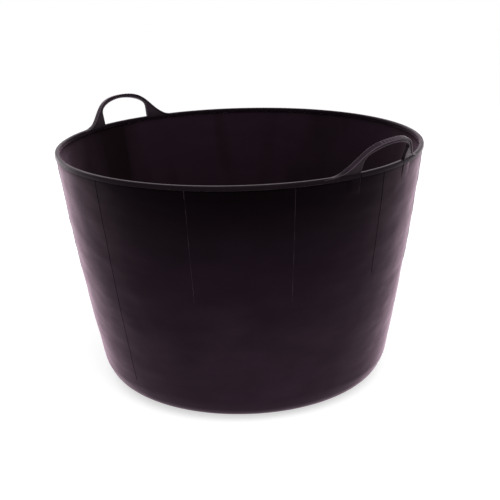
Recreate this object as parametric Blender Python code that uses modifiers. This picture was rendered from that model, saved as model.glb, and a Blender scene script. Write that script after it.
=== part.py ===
# Flexible tub: a round, tapered bucket of soft plastic with two strap handles.
# Metres, +Z up. The origin is the centre of the base, and the handles lie on the X axis.
# The real tub is one moulding. It is divided here along the lines and edges that the moulding
# shows, and each handle bends about a line across its two legs, just above the rim.

import math

import bmesh
import bpy
from mathutils import Matrix, Vector

# Overall size
RIM_RADIUS = 0.290        # outside of the rim bead
RIM_HEIGHT = 0.382        # floor to the top of the rim bead
WALL_THICK = 0.0033
SEAM = 0.0003             # gap between pieces that touch

# Rim bead
BEAD_PROUD = 0.0015       # stands out of the wall by this much
BEAD_WIDTH = 0.0070
BEAD_DEPTH = 0.0067
BEAD_ROUND = 0.0020       # radius of its two upper edges
BEAD_STEPS = 4

# Wall
WALL_FOOT_RADIUS = 0.2358  # outside of the wall at its lower edge
WALL_FOOT_HEIGHT = 0.042
WALL_BOW = 0.0030          # how far the wall bows out at mid height
PANEL_COUNT = 12
PANEL_SWEEP_STEPS = 8
PANEL_RISE_STEPS = 4

# Base
CORNER_RADIUS = 0.036
CORNER_CENTRE = 0.1962     # radius at which the round of the corner is centred
CORNER_LEAN = math.radians(25.0)   # slope of the base where its round corner begins, from upright
FOOT_LEAN = math.radians(11.0)     # slope of the wall at its lower edge
CORNER_PULL = 0.0070       # pull of the curve that joins the two
CORNER_STEPS = 6
CURVE_STEPS = 3
FLOOR_HEIGHT = 0.0030      # underside of the floor
FOOT_INSET = 0.0063        # the ring that the tub stands on is this far in from the corner
FOOT_WIDTH = 0.006
ROUND_STEPS = 96           # facets round a full turn

# Handles, as seen flat against the rim: distance along the rim from the handle's middle,
# and height above the rim, along the lean
HANDLE_LEAN = math.radians(14.0)   # the soft strap leans out a little more than the wall
ARCH_HEIGHT = 0.0455
ARCH_SHOULDER = 0.0408     # pull of the curve at the top of the arch
LEG_WIDTH = 0.0158         # from the finger gap out to the middle of the arch's flank
FLANK_HEIGHT = 0.0159
FLANK_ANGLE = math.radians(44.3)
FLANK_PULL_UP = 0.0241
FLANK_PULL_DOWN = 0.0161
FLARE_OUT = 0.1100         # where the flare has sunk into the bead
FLARE_PULL = 0.0240
FLARE_SINK = 0.0012
GAP_HALF_WIDTH = 0.0494    # finger gap
GAP_KINK_HEIGHT = 0.0204   # where the gap's sides turn into its arch
GAP_PULL_TOP = 0.0245
GAP_PULL_SIDE = 0.0099
BAND_THICK = 0.0028        # outer band of the strap, in the plane of the handle
BAND_WIDTH = 0.0080        # the same band, across the rim
LIP_THICK = 0.0026         # raised edge that the fingers bear on
LIP_WIDTH = 0.0070
WEB_WIDTH = 0.0042         # thinner web between the two
ARCH_STEPS = 10

# Handle feet
FOOT_END = 0.0020          # the foot runs this far past the flare, along the rim
GUSSET_OUT = 0.0780        # end of the thickening under the flare
GUSSET_DROP = 0.0100       # how far it runs down the wall below the bead
GUSSET_INSET = 0.0002      # its face lies this far behind the bead's
GUSSET_FEATHER = 0.0005    # its thickness at its lower end

# Black plastic, one colour and finish all over
PLASTIC = (0.012, 0.009, 0.011)
PLASTIC_ROUGHNESS = 0.42

# Bending line of the handles
HINGE_HEIGHT = 0.0105      # above the rim
HINGE_INSET = 0.0072       # in from the outside of the bead at the handle's middle
KNUCKLE_RADIUS = 0.0080
KNUCKLE_STEPS = 12

BEND_STEP = math.radians(3.0)      # facets of pieces bent round the rim
SHARP_ANGLE = math.radians(30.0)
WELD = 0.000005            # points closer than this are one point

RIM_UNDERSIDE = RIM_HEIGHT - BEAD_DEPTH
WALL_TOP = RIM_UNDERSIDE - SEAM
WALL_TOP_RADIUS = RIM_RADIUS - BEAD_PROUD
# Places across the rim, measured out from the outside of the bead
BEAD_INNER = -BEAD_WIDTH
BEAD_MIDDLE = -0.5 * BEAD_WIDTH
HINGE_X = RIM_RADIUS - HINGE_INSET
HINGE_Z = RIM_HEIGHT + HINGE_HEIGHT
# Top of the finger gap: under the band, a sliver of web and the lip
GAP_HEIGHT = ARCH_HEIGHT - BAND_THICK - SEAM - LIP_THICK
# Middle of the arch's flank
FLANK_OUT = GAP_HALF_WIDTH + LEG_WIDTH
# Far end of a handle's foot
FOOT_OUT = FLARE_OUT + FOOT_END


def clear_scene():
    for obj in list(bpy.data.objects):
        bpy.data.objects.remove(obj, do_unlink=True)


def new_collection(name):
    collection = bpy.data.collections.new(name)
    bpy.context.scene.collection.children.link(collection)
    return collection


def plastic(name):
    material = bpy.data.materials.new(name)
    material.use_nodes = True
    shader = material.node_tree.nodes["Principled BSDF"]
    shader.inputs["Base Color"].default_value = (*PLASTIC, 1.0)
    shader.inputs["Roughness"].default_value = PLASTIC_ROUGHNESS
    return material


def add_object(name, mesh, collection):
    obj = bpy.data.objects.new(name, mesh)
    collection.objects.link(obj)
    # Copies of one piece share their mesh, so the material belongs to the object.
    if not mesh.materials:
        mesh.materials.append(None)
    obj.material_slots[0].link = 'OBJECT'
    obj.material_slots[0].material = plastic(name)
    return obj


def smooth(mesh):
    mesh.shade_smooth()
    mesh.set_sharp_from_angle(angle=SHARP_ANGLE)


def wall_radius(height):
    """Outside of the wall at a height: a straight taper with a slight outward bow."""
    share = (height - WALL_FOOT_HEIGHT) / (RIM_UNDERSIDE - WALL_FOOT_HEIGHT)
    straight = WALL_FOOT_RADIUS + share * (WALL_TOP_RADIUS - WALL_FOOT_RADIUS)
    return straight + 4.0 * WALL_BOW * share * (1.0 - share)


def arc(centre, radius, start, end, steps):
    points = []
    for i in range(steps + 1):
        angle = start + (end - start) * i / steps
        points.append((centre[0] + radius * math.cos(angle), centre[1] + radius * math.sin(angle)))
    return points


def bezier(p0, p1, p2, p3, steps):
    points = []
    for i in range(steps + 1):
        t = i / steps
        u = 1.0 - t
        weights = (u * u * u, 3.0 * u * u * t, 3.0 * u * t * t, t * t * t)
        ends = (p0, p1, p2, p3)
        points.append(tuple(sum(w * p[k] for w, p in zip(weights, ends)) for k in (0, 1)))
    return points


def inset_line(points, distance):
    """A copy of an open line, moved to its right-hand side by a distance."""
    moved = []
    for i, point in enumerate(points):
        before = Vector(points[max(i - 1, 0)])
        after = Vector(points[min(i + 1, len(points) - 1)])
        along = (after - before).normalized()
        moved.append((point[0] + along.y * distance, point[1] - along.x * distance))
    return moved


def mirrored(points):
    return [(-x, y) for x, y in reversed(points)]


# Turned pieces

def turned_solid(profile, sweep, steps):
    """A closed outline in the XZ plane, spun about Z from the X axis."""
    bm = bmesh.new()
    verts = [bm.verts.new((radius, 0.0, height)) for radius, height in profile]
    face = bm.faces.new(verts)
    bmesh.ops.spin(bm, geom=[face] + list(face.edges) + verts, cent=(0, 0, 0), axis=(0, 0, 1),
                   dvec=(0, 0, 0), angle=sweep, steps=steps, use_duplicate=False)
    bmesh.ops.recalc_face_normals(bm, faces=bm.faces)
    mesh = bpy.data.meshes.new("turned")
    bm.to_mesh(mesh)
    bm.free()
    smooth(mesh)
    return mesh


def turned_ring(profile, name, collection):
    """A closed outline turned all the way round with a Screw modifier."""
    mesh = bpy.data.meshes.new(name)
    verts = [(radius, 0.0, height) for radius, height in profile]
    edges = [(i, (i + 1) % len(verts)) for i in range(len(verts))]
    mesh.from_pydata(verts, edges, [])
    obj = add_object(name, mesh, collection)
    screw = obj.modifiers.new("turn", 'SCREW')
    screw.angle = math.tau
    screw.steps = ROUND_STEPS
    screw.render_steps = ROUND_STEPS
    screw.use_merge_vertices = True
    screw.merge_threshold = WELD
    screw.use_smooth_shade = True
    return obj


def wall_panel_mesh():
    """One panel of the wall, from just past the mould line on the X axis to the next line."""
    low = WALL_FOOT_HEIGHT + SEAM
    heights = [low + (WALL_TOP - low) * i / PANEL_RISE_STEPS for i in range(PANEL_RISE_STEPS + 1)]
    outside = [(wall_radius(height), height) for height in reversed(heights)]
    inside = [(wall_radius(height) - WALL_THICK, height) for height in heights]
    seam_angle = SEAM / WALL_FOOT_RADIUS
    mesh = turned_solid(outside + inside, math.tau / PANEL_COUNT - seam_angle, PANEL_SWEEP_STEPS)
    mesh.transform(Matrix.Rotation(0.5 * seam_angle, 4, 'Z'))
    return mesh


def base_outline():
    """Outside of the base: on from the wall's slope, round the corner and down to the floor."""
    centre = (CORNER_CENTRE, FLOOR_HEIGHT + CORNER_RADIUS)
    bend = arc(centre, CORNER_RADIUS, -CORNER_LEAN, -0.5 * math.pi, CORNER_STEPS)
    top = Vector((WALL_FOOT_RADIUS, WALL_FOOT_HEIGHT))
    down_wall = Vector((-math.sin(FOOT_LEAN), -math.cos(FOOT_LEAN)))
    down_bend = Vector((-math.sin(CORNER_LEAN), -math.cos(CORNER_LEAN)))
    curve = bezier(top, top + CORNER_PULL * down_wall,
                   Vector(bend[0]) - CORNER_PULL * down_bend, bend[0], CURVE_STEPS)
    return curve + bend[1:]


def floor_edge():
    """Radius at which the round corner of the base meets its flat floor."""
    return base_outline()[-1][0]


def base_ring_profile():
    outside = base_outline()
    inside = inset_line(outside, WALL_THICK)
    inside[0] = (outside[0][0] - WALL_THICK, outside[0][1])
    inside[-1] = (outside[-1][0], outside[-1][1] + WALL_THICK)
    return outside + inside[::-1]


def foot_profile():
    top = FLOOR_HEIGHT - SEAM
    outer = floor_edge() - FOOT_INSET
    inner = outer - FOOT_WIDTH
    return [(outer, top), (outer, 0.0), (inner, 0.0), (inner, top)]


def bead_outline():
    """Section of the rim bead: across the rim from its outside, and height above its top."""
    upright = 0.5 * math.pi
    outer = arc((-BEAD_ROUND, -BEAD_ROUND), BEAD_ROUND, 0.0, upright, BEAD_STEPS)
    inner = arc((BEAD_INNER + BEAD_ROUND, -BEAD_ROUND), BEAD_ROUND, upright, math.pi, BEAD_STEPS)
    return [(0.0, -BEAD_DEPTH)] + outer + inner + [(BEAD_INNER, -BEAD_DEPTH)]


# Pieces bent round the rim. Flat coordinates are x, the distance along the rim; y, the height
# above the rim; and z, the distance out from the outside of the bead.

def flat_plate(outline, z_low, z_high):
    """A flat outline given a thickness: a filled 2D curve, made a mesh."""
    curve = bpy.data.curves.new("outline", 'CURVE')
    curve.dimensions = '2D'
    curve.fill_mode = 'BOTH'
    curve.extrude = 0.5 * (z_high - z_low)
    spline = curve.splines.new('POLY')
    spline.points.add(len(outline) - 1)
    for point, (x, y) in zip(spline.points, outline):
        point.co = (x, y, 0.0, 1.0)
    spline.use_cyclic_u = True
    guide = bpy.data.objects.new("outline", curve)
    bpy.context.scene.collection.objects.link(guide)
    bpy.context.view_layer.update()
    evaluated = guide.evaluated_get(bpy.context.evaluated_depsgraph_get())
    mesh = bpy.data.meshes.new_from_object(evaluated)
    mesh.transform(Matrix.Translation((0.0, 0.0, 0.5 * (z_low + z_high))))
    bpy.data.objects.remove(guide, do_unlink=True)
    bm = bmesh.new()
    bm.from_mesh(mesh)
    bmesh.ops.remove_doubles(bm, verts=bm.verts, dist=WELD)
    bmesh.ops.recalc_face_normals(bm, faces=bm.faces)
    bm.to_mesh(mesh)
    bm.free()
    return mesh


def flat_bar(section, start, end):
    """A section across the rim, run straight along it from start to end."""
    mesh = flat_plate([(z, y) for z, y in section], start, end)
    # The outline lies in z and y, and its thickness runs along x.
    swap = Matrix(((0, 0, 1, 0), (0, 1, 0, 0), (1, 0, 0, 0), (0, 0, 0, 1)))
    mesh.transform(swap)
    mesh.flip_normals()
    return mesh


def joined(meshes):
    """A Boolean union of flat meshes, as one mesh."""
    first = bpy.data.objects.new("union", meshes[0])
    bpy.context.scene.collection.objects.link(first)
    others = []
    for mesh in meshes[1:]:
        other = bpy.data.objects.new("added", mesh)
        bpy.context.scene.collection.objects.link(other)
        union = first.modifiers.new("union", 'BOOLEAN')
        union.operation = 'UNION'
        union.solver = 'EXACT'
        union.object = other
        others.append(other)
    bpy.context.view_layer.update()
    evaluated = first.evaluated_get(bpy.context.evaluated_depsgraph_get())
    result = bpy.data.meshes.new_from_object(evaluated)
    for obj in [first] + others:
        bpy.data.objects.remove(obj, do_unlink=True)
    return result


def bend_round_rim(mesh):
    """Cuts a flat mesh into strips, then lays it round the rim, leaning out above it."""
    bm = bmesh.new()
    bm.from_mesh(mesh)
    step = BEND_STEP * RIM_RADIUS
    low = min(v.co.x for v in bm.verts)
    high = max(v.co.x for v in bm.verts)
    for i in range(math.ceil(low / step), math.floor(high / step) + 1):
        geom = list(bm.verts) + list(bm.edges) + list(bm.faces)
        bmesh.ops.bisect_plane(bm, geom=geom, dist=WELD, plane_co=(i * step, 0, 0),
                               plane_no=(1, 0, 0))
    for vert in bm.verts:
        angle = vert.co.x / RIM_RADIUS
        rise = max(vert.co.y, 0.0)
        radius = RIM_RADIUS + vert.co.z + rise * math.sin(HANDLE_LEAN)
        height = RIM_HEIGHT + min(vert.co.y, 0.0) + rise * math.cos(HANDLE_LEAN)
        vert.co = (radius * math.cos(angle), radius * math.sin(angle), height)
    bmesh.ops.remove_doubles(bm, verts=bm.verts, dist=WELD)
    bmesh.ops.recalc_face_normals(bm, faces=bm.faces)
    bent = bpy.data.meshes.new("bent")
    bm.to_mesh(bent)
    bm.free()
    smooth(bent)
    return bent


def arch_side():
    """Outer edge of the strap on its positive side, from the top down to the rim."""
    along = Vector((math.cos(FLANK_ANGLE), -math.sin(FLANK_ANGLE)))
    flank = Vector((FLANK_OUT, FLANK_HEIGHT))
    upper = bezier((0.0, ARCH_HEIGHT), (ARCH_SHOULDER, ARCH_HEIGHT),
                   flank - FLANK_PULL_UP * along, flank, ARCH_STEPS)
    lower = bezier(flank, flank + FLANK_PULL_DOWN * along,
                   (FLARE_OUT - FLARE_PULL, -FLARE_SINK), (FLARE_OUT, -FLARE_SINK), ARCH_STEPS)
    return upper + lower[1:]


def gap_side():
    """Edge of the finger gap on its positive side, from the top down to the kink."""
    return bezier((0.0, GAP_HEIGHT), (GAP_PULL_TOP, GAP_HEIGHT),
                  (GAP_HALF_WIDTH, GAP_KINK_HEIGHT + GAP_PULL_SIDE),
                  (GAP_HALF_WIDTH, GAP_KINK_HEIGHT), ARCH_STEPS)


def whole(side):
    return mirrored(side)[:-1] + side


def beyond(line, start):
    """The part of a line past a distance along the rim, beginning exactly there."""
    kept = [point for point in line if point[0] > start]
    last = line[len(line) - len(kept) - 1]
    share = (start - last[0]) / (kept[0][0] - last[0])
    return [(start, last[1] + share * (kept[0][1] - last[1]))] + kept


def rim_plate(outline, width):
    """A plate of one width, centred on the middle of the bead."""
    return flat_plate(outline, BEAD_MIDDLE - 0.5 * width, BEAD_MIDDLE + 0.5 * width)


def band_plate():
    """Outer band of the strap, from flare to flare."""
    outer = whole(arch_side())
    return rim_plate(outer + inset_line(outer, BAND_THICK)[::-1], BAND_WIDTH)


def web_plate():
    """Web between the band and the finger gap, down to the rim."""
    under_band = [p for p in inset_line(arch_side(), BAND_THICK + SEAM) if p[1] > 0.0]
    gap = whole(gap_side())
    leg_end = (GAP_HALF_WIDTH, 0.0)
    outline = whole(under_band) + [leg_end] + gap[::-1] + mirrored([leg_end])
    return rim_plate(outline, WEB_WIDTH)


def lip_plate():
    """Raised edge along the arch of the finger gap, from kink to kink."""
    gap = whole(gap_side())
    return rim_plate(inset_line(gap, -LIP_THICK) + gap[::-1], LIP_WIDTH)


def gusset_section():
    """Section across the rim of the thickening on the wall under a foot."""
    top = -0.5 * BEAD_DEPTH
    low = -BEAD_DEPTH - GUSSET_DROP
    back = WALL_TOP_RADIUS + SEAM - RIM_RADIUS
    back_low = wall_radius(RIM_HEIGHT + low) + SEAM - RIM_RADIUS
    return [(back, top), (-GUSSET_INSET, top), (-GUSSET_INSET, -BEAD_DEPTH),
            (back_low + GUSSET_FEATHER, low), (back_low, low), (back, -BEAD_DEPTH)]


def foot_mesh():
    """Foot at the handle's positive end: bead, gusset, web and the flared end of the band."""
    bead = flat_bar(bead_outline(), GAP_HALF_WIDTH, FOOT_OUT)
    gusset = flat_bar(gusset_section(), GAP_HALF_WIDTH, GUSSET_OUT)
    outer = beyond(arch_side(), GAP_HALF_WIDTH)
    core = beyond(inset_line(arch_side(), 0.5 * BAND_THICK), GAP_HALF_WIDTH)
    under = beyond(inset_line(arch_side(), BAND_THICK), GAP_HALF_WIDTH)
    band = rim_plate(outer + under[::-1], BAND_WIDTH)
    root = [(FLARE_OUT, -0.5 * BEAD_DEPTH), (GAP_HALF_WIDTH, -0.5 * BEAD_DEPTH)]
    web = rim_plate(core + root, WEB_WIDTH)
    return bend_round_rim(joined([bead, gusset, web, band]))


def knuckle_cutter(name, radius, collection):
    """Everything above the bending line, with a round underside about that line."""
    reach = ARCH_HEIGHT + KNUCKLE_RADIUS
    across = arc((0.0, 0.0), radius, math.pi, math.tau, KNUCKLE_STEPS)
    outline = [(-reach, reach), (-reach, 0.0)] + across + [(reach, 0.0), (reach, reach)]
    mesh = flat_plate(outline, -RIM_RADIUS, RIM_RADIUS)
    # The outline lies in x and z, and its thickness runs along y.
    mesh.transform(Matrix.Rotation(0.5 * math.pi, 4, 'X'))
    mesh.transform(Matrix.Translation((HINGE_X, 0.0, HINGE_Z)))
    cutter = bpy.data.objects.new(name, mesh)
    collection.objects.link(cutter)
    cutter.hide_render = True
    cutter.display_type = 'WIRE'
    return cutter


def cut_mesh(mesh, cutter, operation):
    """The mesh cut by a cutter, as a new mesh."""
    obj = bpy.data.objects.new("cut", mesh)
    bpy.context.scene.collection.objects.link(obj)
    cut = obj.modifiers.new("cut", 'BOOLEAN')
    cut.operation = operation
    cut.solver = 'EXACT'
    cut.object = cutter
    bpy.context.view_layer.update()
    evaluated = obj.evaluated_get(bpy.context.evaluated_depsgraph_get())
    result = bpy.data.meshes.new_from_object(evaluated)
    bpy.data.objects.remove(obj, do_unlink=True)
    smooth(result)
    return result


def bead_mesh(start, end):
    """A run of the rim bead between two angles from the X axis."""
    profile = [(RIM_RADIUS + z, RIM_HEIGHT + y) for z, y in bead_outline()]
    steps = max(1, round((end - start) / BEND_STEP))
    mesh = turned_solid(profile, end - start, steps)
    mesh.transform(Matrix.Rotation(start, 4, 'Z'))
    return mesh


def build_base(collection):
    turned_ring(base_ring_profile(), "base_corner", collection)
    turned_ring(foot_profile(), "foot_ring", collection)
    floor_radius = floor_edge() - SEAM
    bm = bmesh.new()
    bmesh.ops.create_cone(bm, cap_ends=True, segments=ROUND_STEPS, radius1=floor_radius,
                          radius2=floor_radius, depth=WALL_THICK)
    mesh = bpy.data.meshes.new("base_floor")
    bm.to_mesh(mesh)
    bm.free()
    smooth(mesh)
    floor = add_object("base_floor", mesh, collection)
    floor.location = (0.0, 0.0, FLOOR_HEIGHT + 0.5 * WALL_THICK)


def build_wall(collection):
    mesh = wall_panel_mesh()
    for i in range(PANEL_COUNT):
        panel = add_object(f"wall_panel_{i + 1:02d}", mesh, collection)
        panel.rotation_euler = (0.0, 0.0, math.tau * i / PANEL_COUNT)


def build_rim(collection):
    """Long runs of the bead between the handles, and the short ones under the finger gaps."""
    seam_angle = SEAM / RIM_RADIUS
    run_start = FOOT_OUT / RIM_RADIUS + seam_angle
    lip_end = GAP_HALF_WIDTH / RIM_RADIUS - seam_angle
    run = bead_mesh(run_start, math.pi - run_start)
    lip = bead_mesh(-lip_end, lip_end)
    for name, mesh, turn in (("rim_bead_rear", run, 0.0), ("rim_bead_front", run, math.pi),
                             ("rim_lip_right", lip, 0.0), ("rim_lip_left", lip, math.pi)):
        piece = add_object(name, mesh, collection)
        piece.rotation_euler = (0.0, 0.0, turn)


def build_handles(collection, cutters):
    above = knuckle_cutter("above_bending_line", KNUCKLE_RADIUS, cutters)
    clear = knuckle_cutter("clear_of_handle", KNUCKLE_RADIUS + SEAM, cutters)
    foot = cut_mesh(foot_mesh(), clear, 'DIFFERENCE')
    other_foot = foot.copy()
    other_foot.transform(Matrix.Scale(-1.0, 4, (0.0, 1.0, 0.0)))
    other_foot.flip_normals()
    for name, mesh, turn in (("right_handle_foot_rear", foot, 0.0),
                             ("right_handle_foot_front", other_foot, 0.0),
                             ("left_handle_foot_front", foot, math.pi),
                             ("left_handle_foot_rear", other_foot, math.pi)):
        piece = add_object(name, mesh, collection)
        piece.rotation_euler = (0.0, 0.0, turn)
    strap = cut_mesh(bend_round_rim(band_plate()), above, 'INTERSECT')
    grip = cut_mesh(bend_round_rim(joined([web_plate(), lip_plate()])), above, 'INTERSECT')
    hinge = Vector((HINGE_X, 0.0, HINGE_Z))
    for mesh in (strap, grip):
        mesh.transform(Matrix.Translation(-hinge))
    for side, turn in (("right", 0.0), ("left", math.pi)):
        for part, mesh in (("strap", strap), ("grip", grip)):
            piece = add_object(f"{side}_handle_{part}", mesh, collection)
            piece.location = Matrix.Rotation(turn, 3, 'Z') @ hinge
            piece.rotation_euler = (0.0, 0.0, turn)


def main():
    clear_scene()
    parts = new_collection("flexible_tub")
    cutters = new_collection("cutters")
    build_base(parts)
    build_wall(parts)
    build_rim(parts)
    build_handles(parts, cutters)


main()
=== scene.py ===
# Looks of the flexible tub: the modelled wall, base, rim and strap handles of black plastic,
# on a white studio floor. Metres, +Z up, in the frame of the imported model.

import math

import bpy
from mathutils import Matrix, Vector, noise


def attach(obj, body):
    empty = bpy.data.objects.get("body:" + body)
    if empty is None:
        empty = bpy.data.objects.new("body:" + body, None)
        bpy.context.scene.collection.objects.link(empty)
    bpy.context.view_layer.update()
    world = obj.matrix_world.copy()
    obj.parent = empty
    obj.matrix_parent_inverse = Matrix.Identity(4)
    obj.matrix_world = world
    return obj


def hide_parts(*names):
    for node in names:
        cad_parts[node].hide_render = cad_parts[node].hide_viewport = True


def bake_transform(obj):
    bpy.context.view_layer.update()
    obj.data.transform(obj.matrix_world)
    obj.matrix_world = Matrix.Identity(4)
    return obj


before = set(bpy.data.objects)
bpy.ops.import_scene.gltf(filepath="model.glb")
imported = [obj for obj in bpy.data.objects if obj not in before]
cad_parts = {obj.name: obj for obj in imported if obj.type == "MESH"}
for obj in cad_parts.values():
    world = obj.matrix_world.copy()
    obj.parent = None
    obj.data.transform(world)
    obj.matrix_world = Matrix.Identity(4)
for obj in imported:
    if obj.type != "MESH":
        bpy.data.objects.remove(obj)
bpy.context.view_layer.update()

# Shape of the tub, the same values as its solids have
RIM_RADIUS = 0.290          # outside of the rim bead
RIM_HEIGHT = 0.382          # floor to the top of the rim bead
WALL_THICK = 0.0033
BEAD_PROUD = 0.0015         # the bead stands out of the wall by this much
BEAD_WIDTH = 0.0070
BEAD_DEPTH = 0.0067
BEAD_ROUND = 0.0020         # radius of its two upper edges
BEAD_UNDER_ROUND = 0.0008   # and of its two lower ones
WALL_FOOT_RADIUS = 0.2358   # outside of the wall at its lower edge
WALL_FOOT_HEIGHT = 0.042
WALL_BOW = 0.0030           # how far the wall bows out at mid height
CORNER_RADIUS = 0.036
CORNER_CENTRE = 0.1962      # radius at which the round of the corner is centred
CORNER_LEAN = math.radians(25.0)    # slope of the base where its round corner begins, from upright
FOOT_LEAN = math.radians(11.0)      # slope of the wall at its lower edge
CORNER_PULL = 0.0070        # pull of the curve that joins the two
FLOOR_HEIGHT = 0.0030       # underside of the floor
FLOOR_RINGS = (0.8, 0.5, 0.2)       # rings of the flat floor, as shares of the foot's radius
FLOOR_MIDDLE = 0.010        # radius of the disc in its middle
FOOT_INSET = 0.0063         # the ring that the tub stands on is this far in from the corner
FOOT_WIDTH = 0.006
FOOT_SOFT = 0.0006          # its edges are taken off by this much

# Shape of a handle, seen flat against the rim: distance along the rim from the handle's middle,
# and height above the rim
ARCH_HEIGHT = 0.0455
ARCH_SHOULDER = 0.0408      # pull of the curve at the top of the arch
LEG_WIDTH = 0.0158          # from the finger gap out to the middle of the arch's flank
FLANK_HEIGHT = 0.0159
FLANK_ANGLE = math.radians(44.3)
FLANK_PULL_UP = 0.0241
FLANK_PULL_DOWN = 0.0161
FLARE_OUT = 0.1100          # where the flare has sunk into the bead
FLARE_PULL = 0.0240
FLARE_SINK = 0.0012
GAP_HEIGHT = 0.0395         # top of the finger gap
GAP_HALF_WIDTH = 0.0494
GAP_KINK_HEIGHT = 0.0204    # where the gap's sides turn into its arch
GAP_PULL_TOP = 0.0245
GAP_PULL_SIDE = 0.0099

# Bars and plate that a handle is made of
BAND_THICK = 0.0020         # outer band of the strap, in the plane of the handle
BAND_WIDTH = 0.0080         # the same band, across the rim
LIP_THICK = 0.0017          # raised edge over the finger gap
LIP_WIDTH = 0.0072
LEG_LIP_THICK = 0.0012      # the same edge down the gap's sides
LEG_LIP_WIDTH = 0.0056
WEB_WIDTH = 0.0048          # thinner web between the band and the edge
WEB_ROUND = 0.0005
WEB_SINK = 0.0010           # the web follows the band down to this far below the rim
BAR_ROUND = 0.38            # rounding of a bar's edges, as a share of its thickness
SIDE_FACING = 0.12          # a bar's rounded edges, which take the painted highlight, are turned from both flats by more than this

# Ribs across the top of the strap
RIB_COUNT = 9
RIB_PITCH = 0.0060
RIB_RADIUS = 0.0008
RIB_PROUD = 0.00035

# Swelling of the wall under each foot of a handle, along the rim from the finger gap
SWELL_FULL = 0.060          # it begins to fade out here
SWELL_END = 0.079           # and is gone here
SWELL_THICK = 0.0016
SWELL_EDGE = 0.0003
SWELL_SUNK = 0.0003         # where it is gone, it lies this far inside the wall
# Its face from the low end up: height above the rim, and distance out from the outside of the bead
SWELL_FACE = ((-0.0300, -0.0047), (-0.0240, -0.0034), (-0.0180, -0.0023), (-0.0120, -0.0013),
              (-0.0075, -0.0004), (-0.0060, -0.0004))

# The soft straps flop outwards, the right one more than the left
RIGHT_LEAN = math.radians(22.0)
LEFT_LEAN = math.radians(13.7)
LEAN_BEND = 0.0060          # height over which a strap turns from upright to its lean

# Mould lines down the wall: every third one is a seam cut into it, the others stand proud
LINE_COUNT = 12
SEAM_EVERY = 3
LINE_WIDTH = 0.0014
LINE_STRIPS = 4             # strips side by side in a line
SEAM_DEPTH = 0.0009
LINE_PROUD = 0.0006
LINE_EVENNESS = 0.7         # mean height of a proud line, as a share of LINE_PROUD
LINE_SHOULDER = 0.8         # height beside the crest of a line, as a share of the crest's
LINE_WANDER = 0.0005
WANDER_LENGTH = 0.035
WANDER_STEP = 7.0           # from one line to the next, the noise it wanders by moves on this far
PATCH_LENGTH = 0.013
PATCH_STEP = 3.0            # and the noise that makes it patchy this far,
PATCH_ROW = 5.0             # in a row of its own
LINE_END_BESIDE = 0.048     # lower end of the lines a quarter turn from the handles
LINE_END_HANDLE = 0.220     # of the lines under the handles
LINE_END_OTHER = 0.198
# Reaches to either side of the middle of a line, as shares of its width
NEAR_REACH = 0.25           # an edge of the plain wall this near becomes the line
CREST_REACH = 0.15
BODY_REACH = 0.4            # what stands proud or is cut in
STRIP_REACH = 0.5           # what takes the line's colour, its painted highlight
WANDER_REACH = 0.6          # what wanders with it

# Unevenness of the soft wall
SAG_SIZE = 0.080
SAG_SQUEEZE = 0.45          # its height against its length round the wall
SAG_DEPTH = 0.0016
SAG_DETAIL = 1
SAG_FADE = 0.030            # it fades out towards the rim and the base

# Notches in the bead beside each foot of a handle
NOTCH_WIDTH = 0.0015
NOTCH_SIDE = 0.0003
NOTCH_DEPTH = 0.0012
NOTCH_SLACK = 1.01          # the floor of a notch is picked out with this much to spare

# Fineness
AROUND = 240                # points round a full turn
WALL_RINGS = 54
CORNER_STEPS = 14
CURVE_STEPS = 6
BEAD_STEPS = 5
BEAD_UNDER_STEPS = 2
ARCH_STEPS = 24
BAR_ROUND_STEPS = 3
WEB_ROUND_STEPS = 1
RIB_SIDES = 16
SWELL_COLUMNS = 20
SWELL_ROWS = 24
SWELL_EDGE_STEPS = 2
CUT_PITCH = 0.004           # width of the strips that a handle is cut into, to lie round the rim
WELD = 0.00001              # points closer than this are one point
WALL_SHARP = 24.0           # angle in degrees past which an edge stays sharp
RIM_SHARP = 35.0            # and the same for the rim and the handles

# Plastic: one black compound all over, mottled, with fine turning lines round the wall, and
# painted light from the white floor that makes it paler towards the foot
BLACK = (0.0012, 0.0006, 0.0011)
# painted light: the paler colour towards the foot stands in for light from the white floor
PAINTED_FLOOR_LIGHT = (0.0270, 0.0155, 0.0245)
# painted highlight: the proud mould lines are paler, for the light their raised edges catch
LINE_HIGHLIGHT = (0.0050, 0.0032, 0.0046)
# painted highlight: paler purple streaks where light falls on the inner wall
INSIDE_STREAK_HIGHLIGHT = (0.0155, 0.0086, 0.0134)
INSIDE_BROWN = (0.0064, 0.0032, 0.0043)
RIM_BLACK = (0.0070, 0.0045, 0.0065)
HANDLE_BLACK = (0.0240, 0.0165, 0.0220)
# painted highlight: the paler rounded edges and ribs of the handles, for the light they catch
HANDLE_EDGE_HIGHLIGHT = (0.0950, 0.0740, 0.0900)
FLOOR_LIGHT_LOW = 0.03           # heights between which the painted floor light fades out
FLOOR_LIGHT_TOP = 0.36
HANDLE_DARK = 0.371         # heights between which a handle's foot turns paler
HANDLE_PALE = 0.394
SATIN_LOW = 0.19            # roughness
SATIN_HIGH = 0.31
WALL_GLOSS = 0.006
GLOSS = 0.03
GLOSS_TINT = (1.0, 0.70, 0.92)
WALL_SHEEN = 0.95
BASE_SHEEN = 0.65
INSIDE_SHEEN = 0.60
SHEEN = 0.30
SHEEN_SOFTNESS = 0.31
SHEEN_TINT = (1.0, 0.67, 0.86)
NOISE_DETAIL = 2.0
MOTTLE_DETAIL = 3.0
MOTTLE_SCALE = 13.0
MOTTLE = 0.20
MOTTLE_LOW = 0.3            # nearly all of the noise lies between these
MOTTLE_HIGH = 0.7
MOTTLE_SQUEEZE = 2.0        # mottle and dents are this many times wider than high
STREAK_SCALE = 11.0
STREAK_LOW = 0.40           # the noise between these is the soft edge of a streak
STREAK_HIGH = 0.60
STREAK_TURN = 3.5           # turn of the streaks about Z, in radians, which sets where the painted highlight falls inside
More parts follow.
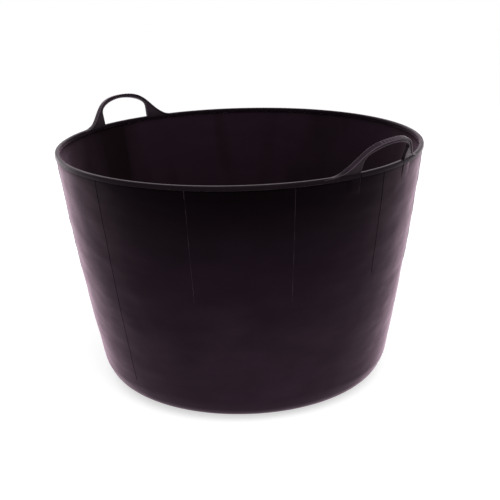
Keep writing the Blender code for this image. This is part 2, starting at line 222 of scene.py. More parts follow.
STREAK_LENGTH = 8.0         # the streaks down the inside are this many times longer than wide
DENT_SCALE = 10.0
DENT_DEPTH = 0.0025
TURNING_PITCH = 0.008
TURNING_DEPTH = 0.00001
TURNING_WANDER = 1.5
TURNING_WANDER_SCALE = 0.4
WAVE_LENGTH = math.tau / 20.0       # of the wave texture at a scale of 1
GRAIN_SCALE = 650.0
GRAIN_DEPTH = 0.00003
INSIDE_SLOT = 1             # places of the materials after the first, of the wall
LINE_SLOT = 2
HIGHLIGHT_SLOT = 1               # and of a bar's painted edge highlight

# Studio
FLOOR_WHITE = 0.60
FLOOR_ROUGHNESS = 0.9
FLOOR_NEAR = 1.1            # distances between which the floor fades out
FLOOR_FAR = 2.6
FLOOR_SIDES = 96
FLOOR_GLOW = 0.60
SKY_FILL = 0.55
SUN = 1.90
SUN_SPREAD = math.radians(60.0)
SUN_TURN = math.radians(-22.0)      # from the +X axis
SUN_RISE = math.radians(55.0)
SIDE_LIGHT = 20.0
SIDE_LIGHT_SIZE = 2.0
SIDE_LIGHT_PLACE = (-2.2, -0.2, 0.8)
SIDE_LIGHT_AIM = (0.0, 0.0, 0.2)

# Camera, fitted to the outline of the tub in the photo
CAMERA_AIM = (0.0, 0.0, 0.191)
CAMERA_DISTANCE = 1.70
CAMERA_TURN = math.radians(45.21)   # from the -Y axis towards +X
CAMERA_RISE = math.radians(18.33)
CAMERA_ROLL = math.radians(-1.734)
CAMERA_SENSOR = 36.0        # millimetres, as is the lens
CAMERA_LENS = 74.18
CAMERA_SHIFT_X = 0.0151
CAMERA_SHIFT_Y = 0.0086

RIM_UNDERSIDE = RIM_HEIGHT - BEAD_DEPTH
WALL_TOP_RADIUS = RIM_RADIUS - BEAD_PROUD
BEAD_MIDDLE = -0.5 * BEAD_WIDTH             # out from the outside of the bead
FLANK_OUT = GAP_HALF_WIDTH + LEG_WIDTH      # middle of the arch's flank
SWELL_LOW = SWELL_FACE[0][0]
SWELL_TOP = SWELL_FACE[-1][0]
UPRIGHT = 0.5 * math.pi


# Objects and selections

def only(obj):
    """Selects one object alone."""
    bpy.ops.object.select_all(action='DESELECT')
    obj.select_set(True)
    bpy.context.view_layer.objects.active = obj


def edit(obj, mode):
    only(obj)
    bpy.ops.object.mode_set(mode='EDIT')
    bpy.ops.mesh.select_mode(type=mode)


def done():
    bpy.ops.object.mode_set(mode='OBJECT')


def name_object(obj, name):
    obj.name = name
    obj.data.name = name


def new_object(name):
    """Names the object that an operator has just added."""
    obj = bpy.context.object
    name_object(obj, name)
    return obj


def copy_of(obj, name):
    """A copy with a mesh of its own."""
    other = obj.copy()
    other.data = obj.data.copy()
    name_object(other, name)
    bpy.context.scene.collection.objects.link(other)
    return other


def link_new(name, data):
    obj = bpy.data.objects.new(name, data)
    bpy.context.scene.collection.objects.link(obj)
    return obj


def apply_modifier(obj, modifier):
    only(obj)
    bpy.ops.object.modifier_apply(modifier=modifier.name)


def delete(obj):
    bpy.data.objects.remove(obj, do_unlink=True)


def paint(obj, material):
    obj.data.materials.append(material)


def smooth(obj, degrees):
    only(obj)
    bpy.ops.object.shade_smooth_by_angle(angle=math.radians(degrees))


def face_outwards(obj):
    edit(obj, 'FACE')
    bpy.ops.mesh.select_all(action='SELECT')
    bpy.ops.mesh.normals_make_consistent(inside=False)
    done()


def mirror_over(obj):
    for vert in obj.data.vertices:
        vert.co.x = -vert.co.x
    face_outwards(obj)


def select_edges(obj, test):
    """Selects the edges whose two ends both pass the test. The object is in object mode."""
    for face in obj.data.polygons:
        face.select = False
    for vert in obj.data.vertices:
        vert.select = False
    for edge in obj.data.edges:
        edge.select = all(test(obj.data.vertices[i].co) for i in edge.vertices)


# Lines

def arc(centre, radius, start, end, steps):
    points = []
    for i in range(steps + 1):
        angle = start + (end - start) * i / steps
        points.append((centre[0] + radius * math.cos(angle), centre[1] + radius * math.sin(angle)))
    return points


def bezier(p0, p1, p2, p3, steps):
    points = []
    for i in range(steps + 1):
        t = i / steps
        u = 1.0 - t
        weights = (u * u * u, 3.0 * u * u * t, 3.0 * u * t * t, t * t * t)
        ends = (p0, p1, p2, p3)
        points.append(tuple(sum(w * p[k] for w, p in zip(weights, ends)) for k in (0, 1)))
    return points


def inset_line(points, distance):
    """A copy of an open line, moved to its right-hand side by a distance."""
    moved = []
    for i, point in enumerate(points):
        before = Vector(points[max(i - 1, 0)])
        after = Vector(points[min(i + 1, len(points) - 1)])
        along = (after - before).normalized()
        moved.append((point[0] + along.y * distance, point[1] - along.x * distance))
    return moved


def mirrored(points):
    return [(-x, y) for x, y in reversed(points)]


def whole(side):
    return mirrored(side)[:-1] + side


def value_between(points, place):
    """Value at a place, straight between the pairs (place, value)."""
    for (p0, v0), (p1, v1) in zip(points, points[1:]):
        if place <= p1:
            return v0 + (v1 - v0) * (place - p0) / (p1 - p0)
    return points[-1][1]


def ease(value):
    """0 below 0, 1 above 1, and a smooth rise between."""
    t = min(max(value, 0.0), 1.0)
    return t * t * (3.0 - 2.0 * t)


# Plastic

def add_node(tree, kind, inputs, **settings):
    """A new node with its inputs set or linked."""
    node = tree.nodes.new(kind)
    for name, value in settings.items():
        setattr(node, name, value)
    for name, value in inputs.items():
        socket = node.inputs[name]
        if kind == 'ShaderNodeMix' and name in ("A", "B"):
            socket = next(s for s in node.inputs if s.name == name and s.type == 'RGBA')
        if isinstance(value, bpy.types.NodeSocket):
            tree.links.new(value, socket)
        else:
            socket.default_value = value
    return node


def noise_of(tree, place, scale, detail):
    return add_node(tree, 'ShaderNodeTexNoise',
                    {"Vector": place, "Scale": scale, "Detail": detail}).outputs["Fac"]


def spread(tree, value, start, end, low=0.0, high=1.0):
    """Takes a value's run from start to end to the run from low to high, and no further."""
    return add_node(tree, 'ShaderNodeMapRange',
                    {"Value": value, "From Min": start, "From Max": end,
                     "To Min": low, "To Max": high}).outputs["Result"]


def stretched(tree, place, rise, turn):
    """A place turned about Z, with its height multiplied."""
    return add_node(tree, 'ShaderNodeMapping',
                    {"Vector": place, "Rotation": (0.0, 0.0, turn),
                     "Scale": (1.0, 1.0, rise)}).outputs["Vector"]


def mixed_colour(tree, share, first, second):
    mix = add_node(tree, 'ShaderNodeMix', {"Factor": share, "A": first, "B": second},
                   data_type='RGBA')
    return next(s for s in mix.outputs if s.type == 'RGBA')


def bump(tree, height, depth, below):
    inputs = {"Strength": 1.0, "Distance": depth, "Height": height}
    if below is not None:
        inputs["Normal"] = below
    return add_node(tree, 'ShaderNodeBump', inputs).outputs["Normal"]


def plastic_colour(tree, place, mottle, ramp, streak):
    """Colour by height. The ramp is two pairs (height, colour), low and high; the streak colour
    takes the place of the high one in streaks that run down the piece."""
    (low, low_colour), (high, high_colour) = ramp
    long = stretched(tree, place, 1.0 / STREAK_LENGTH, STREAK_TURN)
    streaks = noise_of(tree, long, STREAK_SCALE, NOISE_DETAIL)
    streaky = spread(tree, streaks, STREAK_LOW, STREAK_HIGH)
    top = mixed_colour(tree, streaky, (*high_colour, 1.0), (*streak, 1.0))
    height = add_node(tree, 'ShaderNodeSeparateXYZ', {"Vector": place}).outputs["Z"]
    depth = spread(tree, height, high, low)
    uneven = spread(tree, mottle, MOTTLE_LOW, MOTTLE_HIGH, 1.0 - MOTTLE, 1.0 + MOTTLE)
    share = add_node(tree, 'ShaderNodeMath', {0: depth, 1: uneven}, operation='MULTIPLY')
    return mixed_colour(tree, share.outputs["Value"], top, (*low_colour, 1.0))


def plastic_surface(tree, place, flat, turned):
    """Dents, turning lines and grain."""
    dents = noise_of(tree, flat, DENT_SCALE, NOISE_DETAIL)
    normal = bump(tree, dents, DENT_DEPTH, None)
    if turned:
        lines = add_node(tree, 'ShaderNodeTexWave',
                         {"Vector": place, "Scale": WAVE_LENGTH / TURNING_PITCH,
                          "Distortion": TURNING_WANDER, "Detail": NOISE_DETAIL,
                          "Detail Scale": TURNING_WANDER_SCALE},
                         bands_direction='Z').outputs["Fac"]
        normal = bump(tree, lines, TURNING_DEPTH, normal)
    grain = noise_of(tree, place, GRAIN_SCALE, NOISE_DETAIL)
    return bump(tree, grain, GRAIN_DEPTH, normal)


def black_plastic(name, ramp, streak, turned, gloss, sheen):
    """Satin plastic, with turning lines where it is turned."""
    material = bpy.data.materials.new(name)
    material.use_nodes = True
    tree = material.node_tree
    shader = tree.nodes["Principled BSDF"]
    place = add_node(tree, 'ShaderNodeTexCoord', {}).outputs["Object"]
    flat = stretched(tree, place, MOTTLE_SQUEEZE, 0.0)
    mottle = noise_of(tree, flat, MOTTLE_SCALE, MOTTLE_DETAIL)
    tree.links.new(plastic_colour(tree, place, mottle, ramp, streak), shader.inputs["Base Color"])
    satin = spread(tree, mottle, MOTTLE_LOW, MOTTLE_HIGH, SATIN_LOW, SATIN_HIGH)
    tree.links.new(satin, shader.inputs["Roughness"])
    tree.links.new(plastic_surface(tree, place, flat, turned), shader.inputs["Normal"])
    shader.inputs["Specular IOR Level"].default_value = gloss
    shader.inputs["Specular Tint"].default_value = (*GLOSS_TINT, 1.0)
    shader.inputs["Sheen Weight"].default_value = sheen
    shader.inputs["Sheen Roughness"].default_value = SHEEN_SOFTNESS
    shader.inputs["Sheen Tint"].default_value = (*SHEEN_TINT, 1.0)
    return material


# Painted light: the wall, its proud lines and the base are painted paler towards the foot, for the
# floor's light
floor_light_ramp = ((FLOOR_LIGHT_LOW, PAINTED_FLOOR_LIGHT), (FLOOR_LIGHT_TOP, BLACK))
line_ramp = ((FLOOR_LIGHT_LOW, PAINTED_FLOOR_LIGHT), (FLOOR_LIGHT_TOP, LINE_HIGHLIGHT))
rim_ramp = ((FLOOR_LIGHT_LOW, PAINTED_FLOOR_LIGHT), (FLOOR_LIGHT_TOP, RIM_BLACK))
# No painted floor light inside; its paler purple streaks are a painted highlight
inside_ramp = ((FLOOR_LIGHT_LOW, INSIDE_BROWN), (FLOOR_LIGHT_TOP, INSIDE_BROWN))
handle_ramp = ((HANDLE_DARK, BLACK), (HANDLE_PALE, HANDLE_BLACK))
# A handle's rounded edges and ribs carry a painted highlight, fading out towards its foot
edge_highlight_ramp = ((HANDLE_DARK, BLACK), (HANDLE_PALE, HANDLE_EDGE_HIGHLIGHT))
outer_plastic = black_plastic("wall_plastic", floor_light_ramp, BLACK, True, WALL_GLOSS, WALL_SHEEN)
# The inside's purple streaks are a painted highlight
inner_plastic = black_plastic("inside_plastic", inside_ramp, INSIDE_STREAK_HIGHLIGHT, True, WALL_GLOSS,
                              INSIDE_SHEEN)
# The proud mould lines carry a painted highlight
line_plastic = black_plastic("mould_line_plastic", line_ramp, BLACK, False, WALL_GLOSS,
                             WALL_SHEEN)
base_plastic = black_plastic("base_plastic", floor_light_ramp, BLACK, False, WALL_GLOSS, BASE_SHEEN)
rim_plastic = black_plastic("rim_plastic", rim_ramp, RIM_BLACK, False, GLOSS, SHEEN)
handle_plastic = black_plastic("handle_plastic", handle_ramp, HANDLE_BLACK, False, GLOSS, SHEEN)
edge_highlight_plastic = black_plastic("painted_edge_highlight_plastic", edge_highlight_ramp, HANDLE_EDGE_HIGHLIGHT, False, GLOSS, SHEEN)


# Turned pieces

def wall_radius(height):
    """Outside of the wall at a height: a straight taper with a slight outward bow."""
    share = (height - WALL_FOOT_HEIGHT) / (RIM_UNDERSIDE - WALL_FOOT_HEIGHT)
    straight = WALL_FOOT_RADIUS + share * (WALL_TOP_RADIUS - WALL_FOOT_RADIUS)
    return straight + 4.0 * WALL_BOW * share * (1.0 - share)


def raised_rings(name, outline):
    """A skin turned about Z: a circle, extruded and widened from ring to ring of an outline."""
    bpy.ops.object.select_all(action='DESELECT')
    bpy.ops.mesh.primitive_circle_add(vertices=AROUND, radius=outline[0][0])
    obj = new_object(name)
    edit(obj, 'VERT')
    bpy.ops.mesh.select_all(action='SELECT')
    bpy.ops.transform.translate(value=(0.0, 0.0, outline[0][1]))
    for (r0, z0), (r1, z1) in zip(outline, outline[1:]):
        bpy.ops.mesh.extrude_edges_move(TRANSFORM_OT_translate={"value": (0.0, 0.0, z1 - z0)})
        bpy.ops.transform.resize(value=(r1 / r0, r1 / r0, 1.0), center_override=(0.0, 0.0, 0.0))
    done()
    return obj


def line_end(index):
    """Lower end of a mould line, counted round from the +X handle."""
    quarter = LINE_COUNT // 4
    if index % (2 * quarter) == 0:
        return LINE_END_HANDLE
    if index % quarter == 0:
        return LINE_END_BESIDE
    return LINE_END_OTHER


def beside_line(co):
    """The nearest mould line of a point of the wall, and the point's distance beside it."""
    turn = math.tau / LINE_COUNT
    angle = math.atan2(co.y, co.x)
    index = round(angle / turn)
    return index % LINE_COUNT, (angle - index * turn) * math.hypot(co.x, co.y)


def in_line(co, reach):
    """Whether a point of the outer skin lies within reach of a mould line's middle."""
    index, beside = beside_line(co)
    outside = math.hypot(co.x, co.y) > wall_radius(co.z) - 0.5 * WALL_THICK
    return outside and abs(beside) < reach * LINE_WIDTH and co.z > line_end(index)


def line_proud(index, beside, height):
    """How far a point of a mould line stands out of the wall."""
    if abs(beside) > BODY_REACH * LINE_WIDTH:
        return 0.0
    proud = -SEAM_DEPTH
    if index % SEAM_EVERY != 0:
        patch = noise.noise(Vector((height / PATCH_LENGTH, PATCH_STEP * index, PATCH_ROW)))
        proud = LINE_PROUD * max(LINE_EVENNESS + patch, 0.0)
    if abs(beside) > CREST_REACH * LINE_WIDTH:
        proud *= LINE_SHOULDER
    return proud


def mark_mould_lines(wall):
    """Bevels the edges under the mould lines and shapes the new strips into seams and ridges."""
    select_edges(wall, lambda co: in_line(co, NEAR_REACH))
    edit(wall, 'EDGE')
    bpy.ops.mesh.bevel(offset=0.5 * LINE_WIDTH, segments=LINE_STRIPS, affect='EDGES')
    done()
    for vert in wall.data.vertices:
        if not in_line(vert.co, WANDER_REACH):
            continue
        index, beside = beside_line(vert.co)
        outwards = Vector((vert.co.x, vert.co.y, 0.0)).normalized()
        sideways = Vector((-outwards.y, outwards.x, 0.0))
        wander = noise.noise(Vector((vert.co.z / WANDER_LENGTH, WANDER_STEP * index, 0.0)))
        proud = line_proud(index, beside, vert.co.z)
        vert.co += LINE_WANDER * wander * sideways + proud * outwards
    # The proud lines take the painted highlight of the line plastic
    for face in wall.data.polygons:
        is_seam = beside_line(face.center)[0] % SEAM_EVERY == 0
        if in_line(face.center, STRIP_REACH) and not is_seam:
            face.material_index = LINE_SLOT


def sag_wall(wall):
    """Makes the wall gently uneven, away from its two edges."""
    group = wall.vertex_groups.new(name="free of the edges")
    for vert in wall.data.vertices:
        to_edge = min(vert.co.z - WALL_FOOT_HEIGHT, RIM_UNDERSIDE - vert.co.z)
        group.add([vert.index], ease(to_edge / SAG_FADE), 'REPLACE')
    bpy.ops.object.select_all(action='DESELECT')
    bpy.ops.object.empty_add()
    stretch = bpy.context.object
    stretch.scale = (1.0, 1.0, SAG_SQUEEZE)
    unevenness = bpy.data.textures.new("wall sag", 'CLOUDS')
    unevenness.noise_scale = SAG_SIZE
    unevenness.noise_depth = SAG_DETAIL
    sag = wall.modifiers.new("sag", 'DISPLACE')
    sag.texture = unevenness
    sag.texture_coords = 'OBJECT'
    sag.texture_coords_object = stretch
    sag.strength = SAG_DEPTH
    sag.vertex_group = group.name
    apply_modifier(wall, sag)
    delete(stretch)


def make_wall():
    rise = RIM_UNDERSIDE - WALL_FOOT_HEIGHT
    heights = [WALL_FOOT_HEIGHT + rise * i / WALL_RINGS for i in range(WALL_RINGS + 1)]
    wall = raised_rings("tub_wall", [(wall_radius(z), z) for z in heights])
    face_outwards(wall)
    # The shell's inside takes the second and the proud lines the third
    paint(wall, outer_plastic)
    paint(wall, inner_plastic)
    paint(wall, line_plastic)
    sag_wall(wall)
    shell = wall.modifiers.new("shell", 'SOLIDIFY')
    shell.thickness = WALL_THICK
    shell.offset = -1.0
    shell.material_offset = INSIDE_SLOT
    apply_modifier(wall, shell)
    mark_mould_lines(wall)
    smooth(wall, WALL_SHARP)
    return wall


def base_outline():
    """Outside of the base: on from the wall's slope, round the corner and down to the floor."""
    centre = (CORNER_CENTRE, FLOOR_HEIGHT + CORNER_RADIUS)
    bend = arc(centre, CORNER_RADIUS, -CORNER_LEAN, -UPRIGHT, CORNER_STEPS)
    top = Vector((WALL_FOOT_RADIUS, WALL_FOOT_HEIGHT))
    down_wall = Vector((-math.sin(FOOT_LEAN), -math.cos(FOOT_LEAN)))
    down_bend = Vector((-math.sin(CORNER_LEAN), -math.cos(CORNER_LEAN)))
    curve = bezier(top, top + CORNER_PULL * down_wall,
                   Vector(bend[0]) - CORNER_PULL * down_bend, bend[0], CURVE_STEPS)
    return curve + bend[1:]


def make_base():
    """The base with its foot ring, as one skin from the middle of the floor inside, over the
    corner and under to the middle again."""
    outside = base_outline()
    inside = inset_line(outside, WALL_THICK)
    inside[0] = (outside[0][0] - WALL_THICK, outside[0][1])
    inside[-1] = (outside[-1][0], outside[-1][1] + WALL_THICK)
    foot = outside[-1][0] - FOOT_INSET
    foot_inner = foot - FOOT_WIDTH
    ring = [(foot, FLOOR_HEIGHT), (foot, FOOT_SOFT), (foot - FOOT_SOFT, 0.0),
            (foot_inner + FOOT_SOFT, 0.0), (foot_inner, FOOT_SOFT), (foot_inner, FLOOR_HEIGHT)]
    underside = [(foot * share, FLOOR_HEIGHT) for share in FLOOR_RINGS]
    underside.append((FLOOR_MIDDLE, FLOOR_HEIGHT))
    upper = [(radius, FLOOR_HEIGHT + WALL_THICK) for radius, _ in reversed(underside)]
    base = raised_rings("tub_base", upper + inside[::-1] + outside + ring + underside)
    edit(base, 'EDGE')
    bpy.ops.mesh.select_non_manifold()
    bpy.ops.mesh.edge_face_add()
    bpy.ops.mesh.select_all(action='DESELECT')
    bpy.ops.mesh.select_non_manifold()
    bpy.ops.mesh.fill_holes(sides=0)
    done()
    face_outwards(base)
    smooth(base, WALL_SHARP)
    paint(base, base_plastic)
    return base


def bead_edge(radius, height, round_radius, start, steps):
    """A rounded edge of the bead: a quarter turn about a point."""
    return arc((radius, height), round_radius, start, start + UPRIGHT, steps)


def make_rim():
    """The bead round the rim, as one ring."""
    inner = RIM_RADIUS - BEAD_WIDTH
    upper = RIM_HEIGHT - BEAD_ROUND
    lower = RIM_UNDERSIDE + BEAD_UNDER_ROUND
    outline = bead_edge(RIM_RADIUS - BEAD_UNDER_ROUND, lower, BEAD_UNDER_ROUND, -UPRIGHT,
                        BEAD_UNDER_STEPS)
    outline += bead_edge(RIM_RADIUS - BEAD_ROUND, upper, BEAD_ROUND, 0.0, BEAD_STEPS)
    outline += bead_edge(inner + BEAD_ROUND, upper, BEAD_ROUND, UPRIGHT, BEAD_STEPS)
    outline += bead_edge(inner + BEAD_UNDER_ROUND, lower, BEAD_UNDER_ROUND, math.pi,
                         BEAD_UNDER_STEPS)
    rim = raised_rings("tub_rim", outline)
    edit(rim, 'EDGE')
    bpy.ops.mesh.select_all(action='DESELECT')
    bpy.ops.mesh.select_non_manifold()
    bpy.ops.mesh.bridge_edge_loops()
    done()
    face_outwards(rim)
    cut_notches(rim)
    smooth(rim, RIM_SHARP)
    paint(rim, rim_plastic)
    return rim


def cut_notches(rim):
    """A notch across the outside of the bead, beside each of the four feet."""
    floor_half = (0.5 * NOTCH_WIDTH - NOTCH_SIDE) / RIM_RADIUS
    mouth_half = 0.5 * NOTCH_WIDTH / RIM_RADIUS
    middles = [sign * GAP_HALF_WIDTH / RIM_RADIUS for sign in (-1.0, 1.0)]
    edit(rim, 'VERT')
    for middle in middles:
        for turn in (-mouth_half, -floor_half, floor_half, mouth_half):
            angle = middle + turn
            bpy.ops.mesh.select_all(action='SELECT')
            bpy.ops.mesh.bisect(plane_co=(0.0, 0.0, 0.0),
                                plane_no=(-math.sin(angle), math.cos(angle), 0.0))
    done()
    floor_radius = RIM_RADIUS - NOTCH_DEPTH
    for vert in rim.data.vertices:
        radius = math.hypot(vert.co.x, vert.co.y)
        angle = math.asin(vert.co.y / radius)
        to_middle = min(abs(angle - middle) for middle in middles)
        if to_middle < NOTCH_SLACK * floor_half and radius > floor_radius:
            vert.co.x *= floor_radius / radius
            vert.co.y *= floor_radius / radius


# Handles. Flat coordinates are x, the distance along the rim; y, the height above the rim; and
# z, the distance out from the middle of the bead.

def arch_side():
    """Outer edge of the strap on its positive side, from the top down to the rim."""
    along = Vector((math.cos(FLANK_ANGLE), -math.sin(FLANK_ANGLE)))
    flank = Vector((FLANK_OUT, FLANK_HEIGHT))
    upper = bezier((0.0, ARCH_HEIGHT), (ARCH_SHOULDER, ARCH_HEIGHT),
                   flank - FLANK_PULL_UP * along, flank, ARCH_STEPS)
    lower = bezier(flank, flank + FLANK_PULL_DOWN * along,
                   (FLARE_OUT - FLARE_PULL, -FLARE_SINK), (FLARE_OUT, -FLARE_SINK), ARCH_STEPS)
    return upper + lower[1:]


def gap_side():
    """Edge of the finger gap on its positive side, from the top down to the kink."""
    return bezier((0.0, GAP_HEIGHT), (GAP_PULL_TOP, GAP_HEIGHT),
                  (GAP_HALF_WIDTH, GAP_KINK_HEIGHT + GAP_PULL_SIDE),
                  (GAP_HALF_WIDTH, GAP_KINK_HEIGHT), ARCH_STEPS)


def line_object(name, points, closed):
    curve = bpy.data.curves.new(name, 'CURVE')
    curve.dimensions = '2D'
    spline = curve.splines.new('POLY')
    spline.points.add(len(points) - 1)
    for point, (x, y) in zip(spline.points, points):
        point.co = (x, y, 0.0, 1.0)
    spline.use_cyclic_u = closed
    return link_new(name, curve)


def make_mesh(obj):
    only(obj)
    bpy.ops.object.convert(target='MESH')
    edit(obj, 'VERT')
    bpy.ops.mesh.select_all(action='SELECT')
    bpy.ops.mesh.remove_doubles(threshold=WELD)
    bpy.ops.mesh.normals_make_consistent(inside=False)
    done()


def swept_bar(name, path, thick, wide):
    """A bar with rounded edges, swept along a flat path."""
    corner = BAR_ROUND * thick
    half_x = 0.5 * thick - corner
    half_y = 0.5 * wide - corner
    section_points = []
    for k, (sx, sy) in enumerate(((1, 1), (-1, 1), (-1, -1), (1, -1))):
        section_points += arc((sx * half_x, sy * half_y), corner, UPRIGHT * k, UPRIGHT * (k + 1),
                              BAR_ROUND_STEPS)
    section = line_object("section", section_points, True)
    bar = line_object(name, path, False)
    bar.data.dimensions = '3D'
    bar.data.twist_mode = 'Z_UP'
    bar.data.bevel_mode = 'OBJECT'
    bar.data.bevel_object = section
    bar.data.use_fill_caps = True
    make_mesh(bar)
    delete(section)
    paint(bar, handle_plastic)
    paint(bar, edge_highlight_plastic)
    # Faces on the rounded edges take the painted highlight
    for face in bar.data.polygons:
        if SIDE_FACING < abs(face.normal.z) < 1.0 - SIDE_FACING:
            face.material_index = HIGHLIGHT_SLOT
    return bar


def plate(name, outline, wide, edge, steps):
    """A flat plate with rounded edges, of one outline."""
    obj = line_object(name, outline, True)
    obj.data.fill_mode = 'BOTH'
    obj.data.extrude = 0.5 * wide - edge
    obj.data.bevel_depth = edge
    obj.data.bevel_resolution = steps
    obj.data.offset = -edge
    make_mesh(obj)
    paint(obj, handle_plastic)
    return obj


def make_ribs():
    """Low ribs across the top of the strap."""
    top = whole(arch_side())
    ribs = []
    for k in range(RIB_COUNT):
        x = (k - 0.5 * (RIB_COUNT - 1)) * RIB_PITCH
        y = value_between(top, x) + RIB_PROUD - RIB_RADIUS
        bpy.ops.object.select_all(action='DESELECT')
        bpy.ops.mesh.primitive_cylinder_add(vertices=RIB_SIDES, radius=RIB_RADIUS,
                                            depth=BAND_WIDTH - BAND_THICK, location=(x, y, 0.0))
        rib = new_object("rib")
        only(rib)
        bpy.ops.object.transform_apply(location=True)
        ribs.append(rib)
    for rib in ribs:
        rib.select_set(True)
    bpy.ops.object.join()
    # The ribs take the painted highlight
    paint(bpy.context.object, edge_highlight_plastic)
    return bpy.context.object


def make_web():
    """The thinner plate between the band and the finger gap, down into the bead."""
    foot_y = -0.5 * BEAD_DEPTH
    band_middle = inset_line(arch_side(), 0.5 * BAND_THICK)
    under = [point for point in band_middle if point[1] > -WEB_SINK]
    leg = [(under[-1][0], foot_y), (GAP_HALF_WIDTH, foot_y)]
    gap = inset_line(gap_side(), -0.5 * LIP_THICK)
    outline = whole(under) + leg + whole(gap)[::-1] + mirrored(leg)
    return plate("web", outline, WEB_WIDTH, WEB_ROUND, WEB_ROUND_STEPS)


def make_leg_lip(sign):
    """The raised edge down one side of the finger gap, into the bead."""
    x = sign * (GAP_HALF_WIDTH + 0.5 * LEG_LIP_THICK)
    heights = (-0.5 * BEAD_DEPTH, 0.5 * GAP_KINK_HEIGHT, GAP_KINK_HEIGHT)
    return swept_bar("leg lip", [(x, y) for y in heights], LEG_LIP_THICK, LEG_LIP_WIDTH)


def wall_behind(y):
    """How far out from the outside of the bead the tub's own surface is, below its rim."""
    if y > -BEAD_DEPTH:
        return 0.0
    return wall_radius(RIM_HEIGHT + y) - RIM_RADIUS


def make_swelling():
    """The low swelling under the bead below one leg, fading out along the rim and down."""
    bpy.ops.object.select_all(action='DESELECT')
    bpy.ops.mesh.primitive_grid_add(x_subdivisions=SWELL_COLUMNS, y_subdivisions=SWELL_ROWS,
                                    size=1.0)
    swelling = new_object("swelling")
    for vert in swelling.data.vertices:
        x = GAP_HALF_WIDTH + (vert.co.x + 0.5) * (SWELL_END - GAP_HALF_WIDTH)
        y = SWELL_LOW + (vert.co.y + 0.5) * (SWELL_TOP - SWELL_LOW)
        fade = ease((x - SWELL_FULL) / (SWELL_END - SWELL_FULL))
        face = value_between(SWELL_FACE, y)
        sunk = wall_behind(y) - SWELL_SUNK
        vert.co = (x, y, face + fade * (sunk - face) - BEAD_MIDDLE)
    thick = swelling.modifiers.new("thick", 'SOLIDIFY')
    thick.thickness = SWELL_THICK
    thick.offset = -1.0
    apply_modifier(swelling, thick)
    soft = swelling.modifiers.new("soft edge", 'BEVEL')
    soft.width = SWELL_EDGE
    soft.segments = SWELL_EDGE_STEPS
    soft.limit_method = 'ANGLE'
    apply_modifier(swelling, soft)
    paint(swelling, outer_plastic)
    return swelling


def make_handle_flat():
    """One whole handle, flat against the rim: its pieces joined to the outer band."""
    band_line = inset_line(whole(arch_side()), 0.5 * BAND_THICK)
    handle = swept_bar("handle", band_line, BAND_THICK, BAND_WIDTH)
    lip_line = inset_line(whole(gap_side()), -0.5 * LIP_THICK)
    added = [make_ribs(), swept_bar("lip", lip_line, LIP_THICK, LIP_WIDTH), make_web()]
    added += [make_leg_lip(-1.0), make_leg_lip(1.0)]
    swelling = make_swelling()
    other_swelling = copy_of(swelling, "other swelling")
    mirror_over(other_swelling)
    added += [swelling, other_swelling]
    for other in added:
        union = handle.modifiers.new("union", 'BOOLEAN')
        union.operation = 'UNION'
        union.solver = 'EXACT'
        union.material_mode = 'TRANSFER'
        union.object = other
        apply_modifier(handle, union)
        delete(other)
    return handle


def lay_round_rim(obj, turn, lean):
    """Cuts a flat handle into short strips and lays it round the rim, leaning out above it."""
    edit(obj, 'VERT')
    steps = math.ceil(FLARE_OUT / CUT_PITCH)
    for i in range(-steps, steps + 1):
        bpy.ops.mesh.select_all(action='SELECT')
        bpy.ops.mesh.bisect(plane_co=(i * CUT_PITCH, 0.0, 0.0), plane_no=(1.0, 0.0, 0.0))
    done()
    for vert in obj.data.vertices:
        angle = turn + vert.co.x / RIM_RADIUS
        rise = max(vert.co.y, 0.0)
        tilt = lean * ease(rise / LEAN_BEND)
        out = rise * math.sin(lean) + vert.co.z * math.cos(tilt)
        up = min(vert.co.y, 0.0) + rise * math.cos(lean) - vert.co.z * math.sin(tilt)
        radius = RIM_RADIUS + BEAD_MIDDLE + out
        vert.co = (radius * math.cos(angle), radius * math.sin(angle), RIM_HEIGHT + up)
    face_outwards(obj)
    smooth(obj, RIM_SHARP)


# The tub and its handles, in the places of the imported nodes

wall = make_wall()
base = make_base()
rim = make_rim()
right_handle = make_handle_flat()
left_handle = copy_of(right_handle, "left_handle_strap_shape")
name_object(right_handle, "right_handle_strap_shape")
lay_round_rim(right_handle, 0.0, RIGHT_LEAN)
lay_round_rim(left_handle, math.pi, LEFT_LEAN)

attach(wall, "tub")
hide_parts(*[f"wall_panel_{i + 1:02d}" for i in range(LINE_COUNT)])
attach(base, "tub")
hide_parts("base_corner", "base_floor", "foot_ring")
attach(rim, "tub")
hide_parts("rim_bead_front", "rim_bead_rear", "rim_lip_right", "rim_lip_left")
for side, handle, sign in (("right", right_handle, 1.0), ("left", left_handle, -1.0)):
    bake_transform(handle)
    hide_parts(f"{side}_handle_strap", f"{side}_handle_grip",
                f"{side}_handle_foot_front", f"{side}_handle_foot_rear")


# Studio

def seen_rays(tree):
    """1 for the rays that show the studio itself: to the camera, reflected or let through."""
    path = add_node(tree, 'ShaderNodeLightPath', {}).outputs
    either = add_node(tree, 'ShaderNodeMath',
                      {0: path["Is Camera Ray"], 1: path["Is Glossy Ray"]}, operation='MAXIMUM')
    return add_node(tree, 'ShaderNodeMath',
                    {0: either.outputs["Value"], 1: path["Is Transmission Ray"]},
                    operation='MAXIMUM').outputs["Value"]


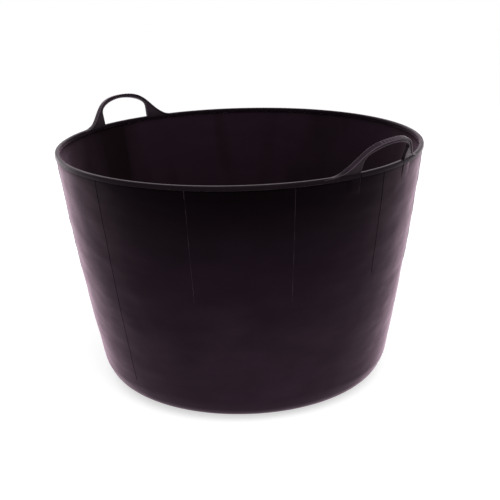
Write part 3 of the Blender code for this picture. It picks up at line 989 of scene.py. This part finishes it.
def studio_white():
    """White that glows for the rays that show it, and fades into the world with distance."""
    material = bpy.data.materials.new("studio white")
    material.use_nodes = True
    tree = material.node_tree
    shader = tree.nodes["Principled BSDF"]
    shader.inputs["Base Color"].default_value = (FLOOR_WHITE, FLOOR_WHITE, FLOOR_WHITE, 1.0)
    shader.inputs["Roughness"].default_value = FLOOR_ROUGHNESS
    shader.inputs["Specular IOR Level"].default_value = 0.0
    place = add_node(tree, 'ShaderNodeTexCoord', {}).outputs["Object"]
    distance = add_node(tree, 'ShaderNodeVectorMath', {0: place}, operation='LENGTH')
    fade = add_node(tree, 'ShaderNodeMapRange',
                    {"Value": distance.outputs["Value"], "From Min": FLOOR_NEAR,
                     "From Max": FLOOR_FAR}, interpolation_type='SMOOTHSTEP')
    strength = add_node(tree, 'ShaderNodeMath', {0: seen_rays(tree), 1: FLOOR_GLOW},
                        operation='MULTIPLY')
    glow = add_node(tree, 'ShaderNodeEmission', {"Strength": strength.outputs["Value"]})
    lit = add_node(tree, 'ShaderNodeAddShader', {0: shader.outputs["BSDF"], 1: glow.outputs[0]})
    clear = add_node(tree, 'ShaderNodeBsdfTransparent', {})
    mix = add_node(tree, 'ShaderNodeMixShader',
                   {0: fade.outputs["Result"], 1: lit.outputs[0], 2: clear.outputs[0]})
    tree.links.new(mix.outputs[0], tree.nodes["Material Output"].inputs["Surface"])
    return material


def make_floor():
    bpy.ops.object.select_all(action='DESELECT')
    bpy.ops.mesh.primitive_circle_add(vertices=FLOOR_SIDES, radius=FLOOR_FAR, fill_type='NGON')
    floor = new_object("studio_floor")
    paint(floor, studio_white())


def make_world():
    """A soft fill for the tub, and plain white for the rays that show the studio itself."""
    world = bpy.data.worlds.new("studio")
    bpy.context.scene.world = world
    world.use_nodes = True
    tree = world.node_tree
    tree.nodes.clear()
    white = (1.0, 1.0, 1.0, 1.0)
    soft = add_node(tree, 'ShaderNodeBackground', {"Color": white, "Strength": SKY_FILL})
    bright = add_node(tree, 'ShaderNodeBackground', {"Color": white})
    mix = add_node(tree, 'ShaderNodeMixShader',
                   {0: seen_rays(tree), 1: soft.outputs[0], 2: bright.outputs[0]})
    add_node(tree, 'ShaderNodeOutputWorld', {"Surface": mix.outputs[0]})


def direction(turn, rise):
    """Unit vector at a turn from the +X axis and a rise above the floor."""
    return Vector((math.cos(rise) * math.cos(turn), math.cos(rise) * math.sin(turn),
                   math.sin(rise)))


def make_sun():
    lamp = bpy.data.lights.new("overhead_light", 'SUN')
    lamp.energy = SUN
    lamp.angle = SUN_SPREAD
    sun = link_new("overhead_light", lamp)
    sun.rotation_euler = direction(SUN_TURN, SUN_RISE).to_track_quat('Z', 'Y').to_euler()


def make_side_light():
    lamp = bpy.data.lights.new("side_light", 'AREA')
    lamp.shape = 'SQUARE'
    lamp.size = SIDE_LIGHT_SIZE
    lamp.energy = SIDE_LIGHT
    light = link_new("side_light", lamp)
    light.location = SIDE_LIGHT_PLACE
    towards = Vector(SIDE_LIGHT_AIM) - light.location
    light.rotation_euler = towards.to_track_quat('-Z', 'Y').to_euler()


def make_camera():
    back = direction(CAMERA_TURN - UPRIGHT, CAMERA_RISE)
    data = bpy.data.cameras.new("camera")
    data.sensor_width = CAMERA_SENSOR
    data.lens = CAMERA_LENS
    data.shift_x = CAMERA_SHIFT_X
    data.shift_y = CAMERA_SHIFT_Y
    camera = link_new("camera", data)
    camera.location = Vector(CAMERA_AIM) + CAMERA_DISTANCE * back
    level = (-back).to_track_quat('-Z', 'Y').to_matrix().to_4x4()
    roll = Matrix.Rotation(CAMERA_ROLL, 4, 'Z')
    camera.rotation_euler = (level @ roll).to_euler()
    bpy.context.scene.camera = camera


make_floor()
make_world()
make_sun()
make_side_light()
make_camera()
bpy.context.scene.view_settings.view_transform = 'Standard'
